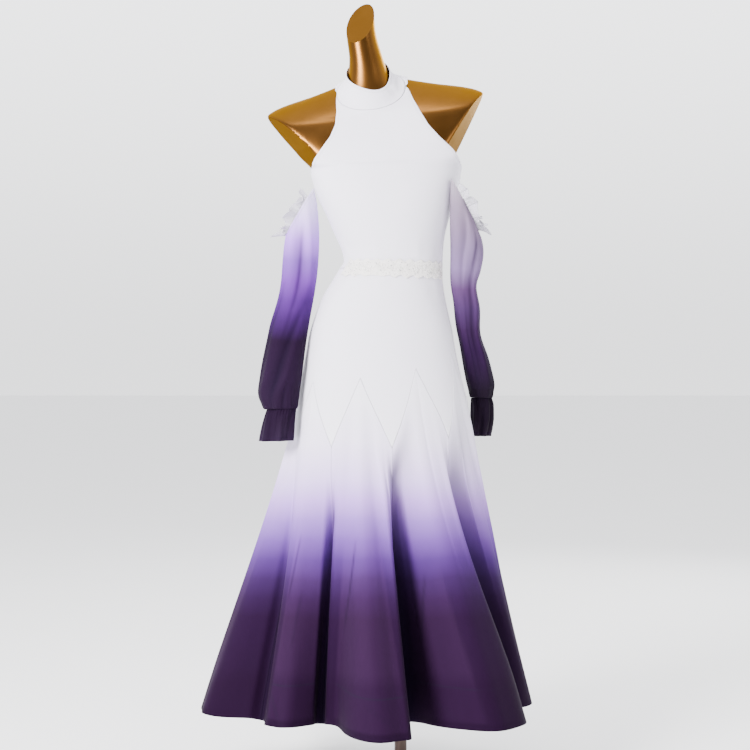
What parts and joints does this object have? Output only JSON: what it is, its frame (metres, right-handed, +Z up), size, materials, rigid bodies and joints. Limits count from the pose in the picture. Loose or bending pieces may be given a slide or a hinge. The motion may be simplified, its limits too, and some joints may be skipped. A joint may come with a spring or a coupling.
{
  "type": "ballroom dance dress on a dress form stand",
  "caption": "Halter ballroom dress with a gored flared skirt, zigzag yoke, waist trim and separate puffed sleeves, on a limbless dress form with a pole and a round base.",
  "frame": {"origin": "centre of the round base's underside, on the floor", "axes": "+Z up, the dress faces -Y, +X is the wearer's left"},
  "size_m": [0.7039, 0.69, 1.6701],
  "materials": {
    "white_crepe": "matt crepe, slightly cool white",
    "button_cloth": "crepe covered buttons",
    "trim": "cream lace with clear stones",
    "skirt_cloth": "matt crepe dip-dyed from white through lilac to dark aubergine",
    "frill_cloth": "matt white crepe, raw wavy edge",
    "sleeve_cloth": "sheer crepe dip-dyed from lilac to near-black aubergine",
    "gold_form": "polished copper gold coating",
    "stand_metal": "brown-grey metal, satin"
  },
  "bodies": {
    "root": {"bodice_back_left": "white_crepe", "bodice_back_right": "white_crepe", "bodice_front": "white_crepe", "collar": "white_crepe", "collar_button_1": "button_cloth", "collar_button_2": "button_cloth", "dress_form": "gold_form", "gore_1": "skirt_cloth", "gore_2": "skirt_cloth", "gore_3": "skirt_cloth", "gore_4": "skirt_cloth", "gore_5": "skirt_cloth", "gore_6": "skirt_cloth", "gore_7": "skirt_cloth", "gore_8": "skirt_cloth", "gore_9": "skirt_cloth", "sleeve_cuff_left": "sleeve_cloth", "sleeve_cuff_right": "sleeve_cloth", "sleeve_left": "sleeve_cloth", "sleeve_right": "sleeve_cloth", "sleeve_ruffle_left": "frill_cloth", "sleeve_ruffle_right": "frill_cloth", "stand_base": "stand_metal", "stand_pole": "stand_metal", "waist_trim": "trim", "yoke_back_left": "white_crepe", "yoke_back_right": "white_crepe", "yoke_front": "white_crepe"}
  },
  "joints": []
}
